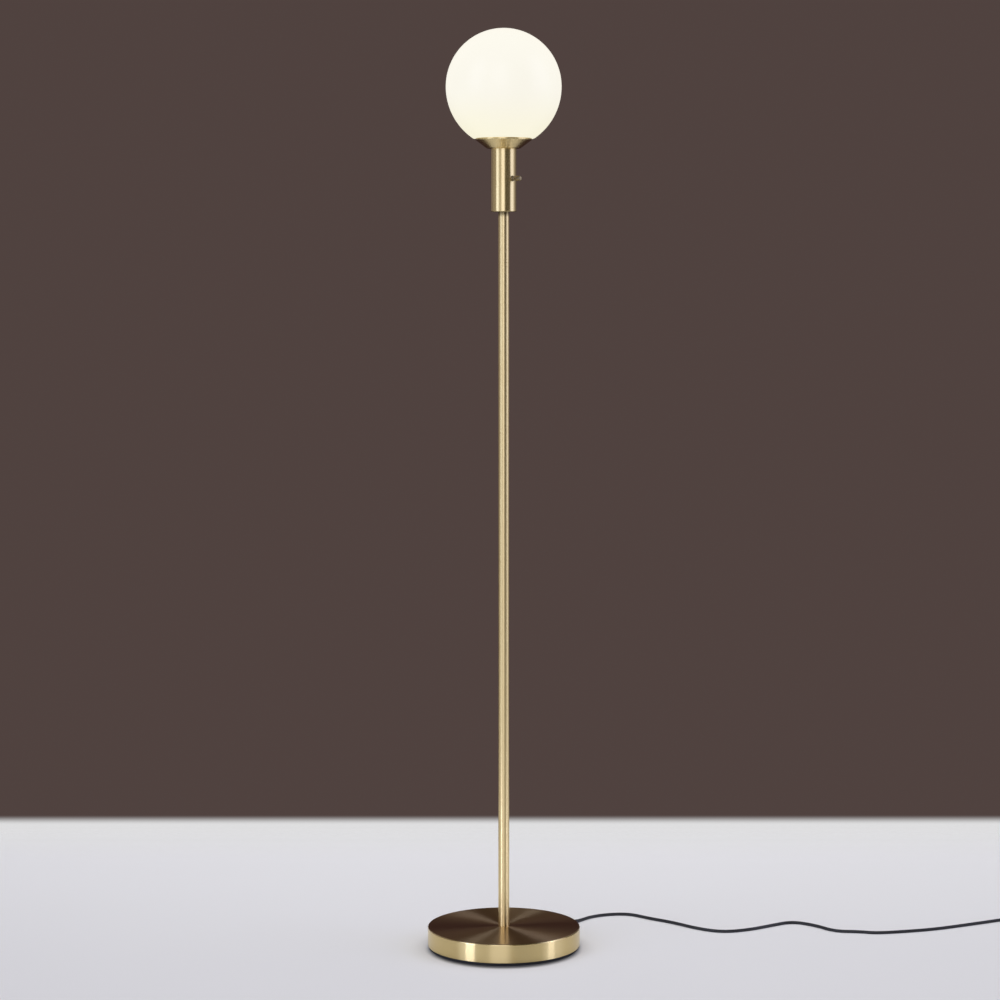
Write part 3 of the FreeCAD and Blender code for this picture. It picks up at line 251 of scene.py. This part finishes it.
def brushed_brass(name, anisotropic, extra=0.0):
    """Satin brass, spun or brushed in fine rings about the pole; the flat top is spun a little coarser and given a
    redder painted reflection tint, the base's side wall is painted darker as painted shade, and the housing's underside
    and the top of the pole just under it are painted dark as painted shade.
    """
    material, graph, shader = principled(name, Metallic=1.0, Anisotropic=anisotropic, Anisotropic_Rotation=0.25)
    cos, sin, radius, z = lathe_coordinates(graph)

    def rings(across, along, detail, rough):
        vector = graph.join(graph.math("MULTIPLY", cos, along), graph.math("MULTIPLY", sin, along),
                            graph.math("MULTIPLY", radius, across))
        return graph.noise(vector, 1.0, detail, rough, w=graph.math("MULTIPLY", z, across))

    fine = rings(2600.0, 2.2, 1.0, 0.5)
    coarse = rings(420.0, 0.9, 3.0, 0.55)
    handled = graph.noise(object_coordinates(graph), 14.0, 4.0, 0.6)
    facing = graph.split(graph.node("ShaderNodeNewGeometry").outputs["Normal"])[2]
    top = graph.spread(facing, 0.80, 0.97, 0.0, 1.0, True)
    both = graph.math("ADD", graph.math("MULTIPLY", fine, 0.6), graph.math("MULTIPLY", coarse, 0.4))
    grain = graph.math("MULTIPLY_ADD", graph.math("SUBTRACT", both, 0.5), graph.spread(top, 0.0, 1.0, 0.30, 1.0), 0.5)
    # painted shade: faces that look down, below the housing's bottom, are painted dark brown
    painted_shade_under = graph.math("MULTIPLY", graph.spread(facing, -0.97, -0.85, 1.0, 0.0), graph.spread(z, 1.2080, 1.2090, 1.0, 0.0))
    colour = graph.mix(graph.spread(grain, 0.32, 0.68), rgb(0.75, 0.595, 0.290), rgb(0.85, 0.69, 0.355))
    colour = graph.mix(graph.spread(handled, 0.35, 0.75, 0.0, 0.35, True), colour, rgb(0.735, 0.565, 0.265))
    # painted reflection tint: faces that look up are tinted a redder brown than the rest of the brass
    colour = graph.mix(graph.math("MULTIPLY", top, 0.75), colour, rgb(0.775, 0.545, 0.28))
    # painted shade: the base's side wall is painted a darker brass than the rest of the cover
    painted_shade_skirt = graph.math("MULTIPLY", graph.spread(z, 0.0340, 0.0352, 0.55, 0.0), graph.math("SUBTRACT", 1.0, top))
    colour = graph.mix(painted_shade_skirt, colour, rgb(0.68, 0.535, 0.245))
    # painted shade: the top of the pole just under the housing is painted dark, darkest next to the housing
    painted_shade_corner = graph.math("MULTIPLY", graph.spread(z, 1.1978, 1.2055, 0.0, 0.76, True), graph.spread(radius, 0.0091, 0.0094, 1.0, 0.0))
    colour = graph.mix(graph.math("MAXIMUM", painted_shade_under, painted_shade_corner), colour, rgb(0.10, 0.075, 0.035))
    graph.link(colour, shader.inputs["Base Color"])
    rough = graph.math("ADD", graph.spread(grain, 0.3, 0.7, 0.215, 0.265), graph.spread(handled, 0.3, 0.8, -0.012, 0.022))
    graph.link(graph.math("ADD", rough, graph.math("MULTIPLY_ADD", top, 0.075, extra)), shader.inputs["Roughness"])
    tangent = graph.node("ShaderNodeTangent", direction_type="RADIAL", axis="Z")
    graph.link(tangent.outputs[0], shader.inputs["Tangent"])
    graph.link(graph.bump(both, 0.000004, 0.4), shader.inputs["Normal"])
    return material


def dark_brass():
    """The knob: turned brass, darkened, with finer marks where fingers hold it."""
    material, graph, shader = principled("dark_brass", Metallic=1.0)
    place = object_coordinates(graph)
    cloud = graph.noise(place, 260.0, 4.0, 0.6)
    speck = graph.noise(place, 2400.0, 2.0, 0.5)
    colour = graph.mix(graph.spread(cloud, 0.3, 0.7), rgb(0.20, 0.155, 0.085), rgb(0.34, 0.265, 0.15))
    graph.link(colour, shader.inputs["Base Color"])
    graph.link(graph.spread(graph.math("ADD", cloud, speck), 0.7, 1.3, 0.26, 0.42), shader.inputs["Roughness"])
    graph.link(graph.bump(speck, 0.00002, 0.5), shader.inputs["Normal"])
    return material


def plain_metal(name, low, high, rough, grain=900.0, depth=0.00002):
    material, graph, shader = principled(name, Metallic=1.0)
    place = object_coordinates(graph)
    cloud = graph.noise(place, 160.0, 4.0, 0.6)
    speck = graph.noise(place, grain, 2.0, 0.5)
    graph.link(graph.mix(graph.spread(cloud, 0.3, 0.7), rgb(*low), rgb(*high)), shader.inputs["Base Color"])
    graph.link(graph.spread(graph.math("ADD", cloud, speck), 0.7, 1.3, rough - 0.06, rough + 0.08), shader.inputs["Roughness"])
    graph.link(graph.bump(speck, depth, 0.5), shader.inputs["Normal"])
    return material


def plain_plastic(name, low, high, rough, grain=1400.0, depth=0.00003, **values):
    material, graph, shader = principled(name, **values)
    place = object_coordinates(graph)
    cloud = graph.noise(place, 60.0, 3.0, 0.6)
    speck = graph.noise(place, grain, 2.0, 0.5)
    graph.link(graph.mix(graph.spread(cloud, 0.3, 0.7), rgb(*low), rgb(*high)), shader.inputs["Base Color"])
    graph.link(graph.spread(speck, 0.3, 0.7, rough - 0.05, rough + 0.07), shader.inputs["Roughness"])
    graph.link(graph.bump(speck, depth, 0.5), shader.inputs["Normal"])
    return material


def opal_glass():
    """Lit opal glass: white, glossy, glowing evenly and a little warmer towards its foot."""
    material, graph, shader = principled("opal_glass", Roughness=0.34, IOR=1.45, Specular_IOR_Level=0.35, Emission_Strength=1.0)
    x, y, z = graph.split(object_coordinates(graph))
    foot = graph.spread(z, 1.325, 1.400, 0.0, 1.0, True)
    cloud = graph.noise(object_coordinates(graph), 9.0, 2.0, 0.5)
    glow = graph.mix(foot, rgb(0.885, 0.845, 0.655), rgb(0.875, 0.845, 0.735))
    glow = graph.mix(graph.spread(cloud, 0.3, 0.7, 0.0, 0.3), glow, rgb(0.865, 0.83, 0.715))
    graph.link(glow, shader.inputs["Emission Color"])
    graph.link(graph.mix(foot, rgb(0.105, 0.10, 0.085), rgb(0.105, 0.105, 0.105)), shader.inputs["Base Color"])
    return material


def frosted_bulb():
    material, graph, shader = principled("frosted_bulb", Roughness=0.35, Emission_Strength=1.4)
    x, y, z = graph.split(object_coordinates(graph))
    lit = graph.spread(z, 1.349, 1.362, 0.0, 1.0, True)
    cloud = graph.noise(object_coordinates(graph), 120.0, 3.0, 0.5)
    glow = graph.mix(lit, rgb(0.55, 0.40, 0.22), rgb(1.0, 0.86, 0.62))
    graph.link(graph.mix(graph.spread(cloud, 0.3, 0.7, 0.0, 0.25), glow, rgb(0.96, 0.84, 0.62)), shader.inputs["Emission Color"])
    shader.inputs["Base Color"].default_value = rgb(0.8, 0.79, 0.76)
    graph.link(graph.bump(graph.noise(object_coordinates(graph), 3000.0, 2.0, 0.5), 0.00002, 0.4), shader.inputs["Normal"])
    return material


def cast_weight():
    material, graph, shader = principled("cast_weight")
    place = object_coordinates(graph)
    cloud = graph.noise(place, 22.0, 5.0, 0.65)
    grit = graph.noise(place, 420.0, 4.0, 0.7)
    stones = graph.node("ShaderNodeTexVoronoi", feature="F1")
    graph.link(place, stones.inputs["Vector"])
    stones.inputs["Scale"].default_value = 170.0
    colour = graph.mix(graph.spread(cloud, 0.3, 0.7), rgb(0.17, 0.165, 0.155), rgb(0.31, 0.30, 0.285))
    colour = graph.mix(graph.spread(stones.outputs["Distance"], 0.05, 0.35, 0.45, 0.0), colour, rgb(0.40, 0.39, 0.36))
    graph.link(colour, shader.inputs["Base Color"])
    graph.link(graph.spread(grit, 0.3, 0.7, 0.78, 0.96), shader.inputs["Roughness"])
    graph.link(graph.bump(grit, 0.0004, 0.5), shader.inputs["Normal"])
    return material


def cord_sheath():
    """Black PVC sheath with a low sheen and the faint lengthwise unevenness of extruded cord."""
    material, graph, shader = principled("black_cord", Specular_IOR_Level=0.45)
    place = object_coordinates(graph)
    cloud = graph.noise(place, 45.0, 3.0, 0.6)
    speck = graph.noise(place, 1600.0, 2.0, 0.5)
    graph.link(graph.mix(graph.spread(cloud, 0.3, 0.7), rgb(0.012, 0.012, 0.013), rgb(0.024, 0.024, 0.026)), shader.inputs["Base Color"])
    graph.link(graph.spread(graph.math("ADD", cloud, speck), 0.7, 1.3, 0.38, 0.54), shader.inputs["Roughness"])
    graph.link(graph.bump(speck, 0.00004, 0.5), shader.inputs["Normal"])
    return material


finishes = {
    "satin_brass": brushed_brass("satin_brass", 1.0),
    "cast_weight": cast_weight(),
    "black_rubber": plain_plastic("black_rubber", (0.010, 0.010, 0.010), (0.018, 0.0175, 0.017), 0.72, 700.0, 0.0001),
    "zinc_steel": plain_metal("zinc_steel", (0.52, 0.53, 0.54), (0.66, 0.67, 0.67), 0.34),
    "black_plastic": plain_plastic("black_plastic", (0.014, 0.014, 0.015), (0.022, 0.022, 0.023), 0.36),
    "white_plastic": plain_plastic("white_plastic", (0.74, 0.73, 0.70), (0.80, 0.79, 0.76), 0.34),
    "porcelain": plain_plastic("porcelain", (0.72, 0.70, 0.65), (0.80, 0.78, 0.73), 0.18, 500.0, 0.00003, Coat_Weight=0.5, Coat_Roughness=0.08),
    "contact_brass": plain_metal("contact_brass", (0.72, 0.53, 0.25), (0.84, 0.66, 0.34), 0.28),
    "nickel": plain_metal("nickel", (0.60, 0.585, 0.55), (0.72, 0.70, 0.665), 0.22),
    "black_glass": plain_plastic("black_glass", (0.010, 0.010, 0.012), (0.018, 0.018, 0.022), 0.12, 400.0, 0.00002),
    "frosted_bulb": frosted_bulb(),
    "opal_glass": opal_glass(),
    "black_cord": cord_sheath(),
    "brown_wire": plain_plastic("brown_wire", (0.115, 0.045, 0.018), (0.15, 0.06, 0.025), 0.42),
    "blue_wire": plain_plastic("blue_wire", (0.018, 0.075, 0.22), (0.025, 0.10, 0.28), 0.42),
}

for name, node in nodes.items():
    for slot in node.material_slots:
        slot.material = finishes[slot.material.name.split(".")[0]]
flex.data.materials.append(finishes["black_cord"])
pole_finish = brushed_brass("satin_brass_pole", 0.45, 0.10)
for slot in nodes["pole_tube"].material_slots:
    slot.material = pole_finish
knob_finish = dark_brass()
for name in ("switch_knob", "switch_nut", "switch_saddle_washer"):
    for slot in nodes[name].material_slots:
        slot.material = knob_finish


# floor: a pale sheet that fades out towards its edges, painted lighter towards the back, with a painted shadow around
# the front of the base

def pale_floor():
    material = bpy.data.materials.new("pale_floor")
    graph = Graph(material)
    output = graph.node("ShaderNodeOutputMaterial")
    shader = graph.node("ShaderNodeBsdfPrincipled")
    shader.inputs["Roughness"].default_value = 0.9
    shader.inputs["Specular IOR Level"].default_value = 0.0
    place = object_coordinates(graph)
    cloud = graph.noise(place, 1.3, 3.0, 0.5)
    x, y, z = graph.split(place)
    colour = graph.mix(graph.spread(cloud, 0.3, 0.7), rgb(0.796, 0.790, 0.772), rgb(0.811, 0.805, 0.787))
    # painted light: the floor is painted lighter towards the back
    colour = graph.mix(graph.spread(y, -0.2, 0.8, 0.0, 1.0, True), colour, rgb(0.850, 0.846, 0.820))
    # painted shadow: the floor is painted almost black in a ring just around the front and sides of the base
    from_base = graph.node("ShaderNodeVectorMath", operation="DISTANCE")
    graph.link(place, from_base.inputs[0])
    from_base.inputs[1].default_value = (-0.3, -0.0155, 0.0)
    colour = graph.mix(graph.spread(from_base.outputs["Value"], 0.1135, 0.1315, 0.85, 0.0, True), colour, rgb(0.02, 0.018, 0.018))
    graph.link(colour, shader.inputs["Base Color"])
    wide = graph.spread(graph.math("ABSOLUTE", x), 1.3, 2.9, 1.0, 0.0, True)
    back = graph.spread(y, 0.62, 1.02, 1.0, 0.0, True)
    front = graph.spread(y, -2.35, -0.9, 0.0, 1.0, True)
    graph.link(graph.math("MULTIPLY", wide, graph.math("MULTIPLY", back, front)), shader.inputs["Alpha"])
    graph.link(shader.outputs[0], output.inputs[0])
    return material


floor_mesh = bpy.data.meshes.new("floor")
floor_mesh.from_pydata([(-3.0, -2.4, 0.0), (3.0, -2.4, 0.0), (3.0, 1.05, 0.0), (-3.0, 1.05, 0.0)], [], [(0, 1, 2, 3)])
floor = bpy.data.objects.new("floor", floor_mesh)
floor.location = (0.3, 0.0, 0.0)
floor_mesh.materials.append(pale_floor())
scene.collection.objects.link(floor)


# light: a soft studio dome with tall soft boxes; the camera itself sees a plain backdrop

WALL = (0.080, 0.055, 0.050)
BEHIND = (0.041, 0.0235, 0.0235)
FLOOR = (0.735, 0.733, 0.738)


def turn(degrees):
    return (degrees + 180.0) / 360.0


def studio():
    world = bpy.data.worlds.new("studio")
    scene.world = world
    graph = Graph(world)
    output = graph.node("ShaderNodeOutputWorld")
    x, y, z = graph.split(graph.node("ShaderNodeTexCoord").outputs["Generated"])
    azimuth = graph.spread(graph.math("ARCTAN2", x, graph.math("MULTIPLY", y, -1.0)), -math.pi, math.pi)
    height = graph.math("MULTIPLY", graph.math("ARCSINE", z), 180.0 / math.pi)

    # round the horizon, 0 degrees is towards the camera and plus is to its right; a stop holds a fifth of the light
    around = graph.ramp(azimuth, [(turn(a), rgb(*(c / 5.0 for c in colour))) for a, colour in (
        (-180, BEHIND), (-158, BEHIND), (-146, (0.25, 0.22, 0.25)), (-100, (0.20, 0.175, 0.19)), (-74, (0.28, 0.25, 0.26)),
        (-66, (1.75, 1.92, 2.65)), (-50, (1.75, 1.92, 2.65)), (-41, (0.64, 0.64, 0.74)), (-24, (0.62, 0.61, 0.68)),
        (-17, (1.78, 1.83, 2.35)), (2, (1.78, 1.83, 2.35)), (14, (0.18, 0.14, 0.09)), (24, (0.03, 0.02, 0.008)),
        (40, (0.03, 0.02, 0.01)), (59, (0.14, 0.12, 0.12)), (68, (1.45, 1.53, 2.2)), (90, (1.45, 1.53, 2.2)),
        (106, (0.55, 0.52, 0.62)), (130, (0.20, 0.18, 0.20)), (156, (0.12, 0.10, 0.10)), (170, BEHIND), (180, BEHIND))])
    around = graph.mix(1.0, around, rgb(5.0, 5.0, 5.0), "MULTIPLY")
    above = graph.mix(graph.spread(height, 30.0, 54.0, 0.0, 1.0, True), around, rgb(0.070, 0.058, 0.052))
    bearing = graph.spread(azimuth, 0.0, 1.0, -180.0, 180.0)
    gap = graph.math("ABSOLUTE", graph.math("SUBTRACT", bearing, 35.0))
    pale = graph.mix(graph.spread(gap, 20.0, 30.0, 0.0, 1.0, True), rgb(0.22, 0.21, 0.20), rgb(0.60, 0.595, 0.60))
    ground = graph.mix(graph.spread(graph.math("ABSOLUTE", bearing), 96.0, 140.0, 0.0, 1.0, True), pale, rgb(*BEHIND))
    room = graph.mix(graph.spread(height, -6.0, -2.0, 1.0, 0.0, True), above, ground)

    level = graph.math("SQRT", graph.math("ADD", graph.math("MULTIPLY", x, x), graph.math("MULTIPLY", y, y)))
    slope = graph.math("DIVIDE", z, graph.math("MAXIMUM", y, graph.math("MULTIPLY", level, 0.97)))
    backdrop = graph.mix(graph.spread(slope, -0.2125, -0.2085, 1.0, 0.0, True), rgb(*WALL), rgb(*FLOOR))
    camera_ray = graph.node("ShaderNodeLightPath").outputs["Is Camera Ray"]
    background = graph.node("ShaderNodeBackground")
    graph.link(graph.mix(camera_ray, room, backdrop), background.inputs["Color"])
    graph.link(background.outputs[0], output.inputs[0])


def soft_box(name, place, target, size, power, colour):
    light = bpy.data.lights.new(name, "AREA")
    light.shape = "RECTANGLE"
    light.size, light.size_y = size
    light.energy = power
    light.color = colour
    made = bpy.data.objects.new(name, light)
    scene.collection.objects.link(made)
    made.location = place
    made.rotation_euler = (Vector(target) - Vector(place)).to_track_quat("-Z", "Y").to_euler()
    made.visible_glossy = False
    made.visible_camera = False
    return made


def low_panel(name, azimuth, across, tall, strength):
    """A pale panel that stands on the floor 0.45 m away and shows only as a bright place in polished things near it."""
    near = math.radians(azimuth / 2.0)
    far = math.radians(azimuth)
    centre = (0.1255 * math.sin(near) + 0.45 * math.sin(far), -0.1255 * math.cos(near) - 0.45 * math.cos(far))
    side = (math.cos(far) * across / 2.0, math.sin(far) * across / 2.0)
    mesh = bpy.data.meshes.new(name)
    mesh.from_pydata([(centre[0] - side[0], centre[1] - side[1], 0.005), (centre[0] + side[0], centre[1] + side[1], 0.005),
                      (centre[0] + side[0], centre[1] + side[1], tall), (centre[0] - side[0], centre[1] - side[1], tall)],
                     [], [(0, 1, 2, 3)])
    material = bpy.data.materials.new(name)
    graph = Graph(material)
    glow = graph.node("ShaderNodeEmission")
    glow.inputs["Color"].default_value = rgb(0.95, 1.0, 1.4)
    glow.inputs["Strength"].default_value = strength
    graph.link(glow.outputs[0], graph.node("ShaderNodeOutputMaterial").inputs[0])
    mesh.materials.append(material)
    made = bpy.data.objects.new(name, mesh)
    scene.collection.objects.link(made)
    made.visible_camera = False
    made.visible_diffuse = False
    made.visible_shadow = False


studio()
soft_box("top_light", (0.2, 0.6, 3.2), (0.2, 0.0, 0.0), (5.6, 5.6), 116.0, (1.0, 1.0, 1.0))
low_panel("low_panel_left", -51.5, 0.128, 0.085, 9.5)
low_panel("low_panel_right", 75.0, 0.104, 0.085, 5.8)
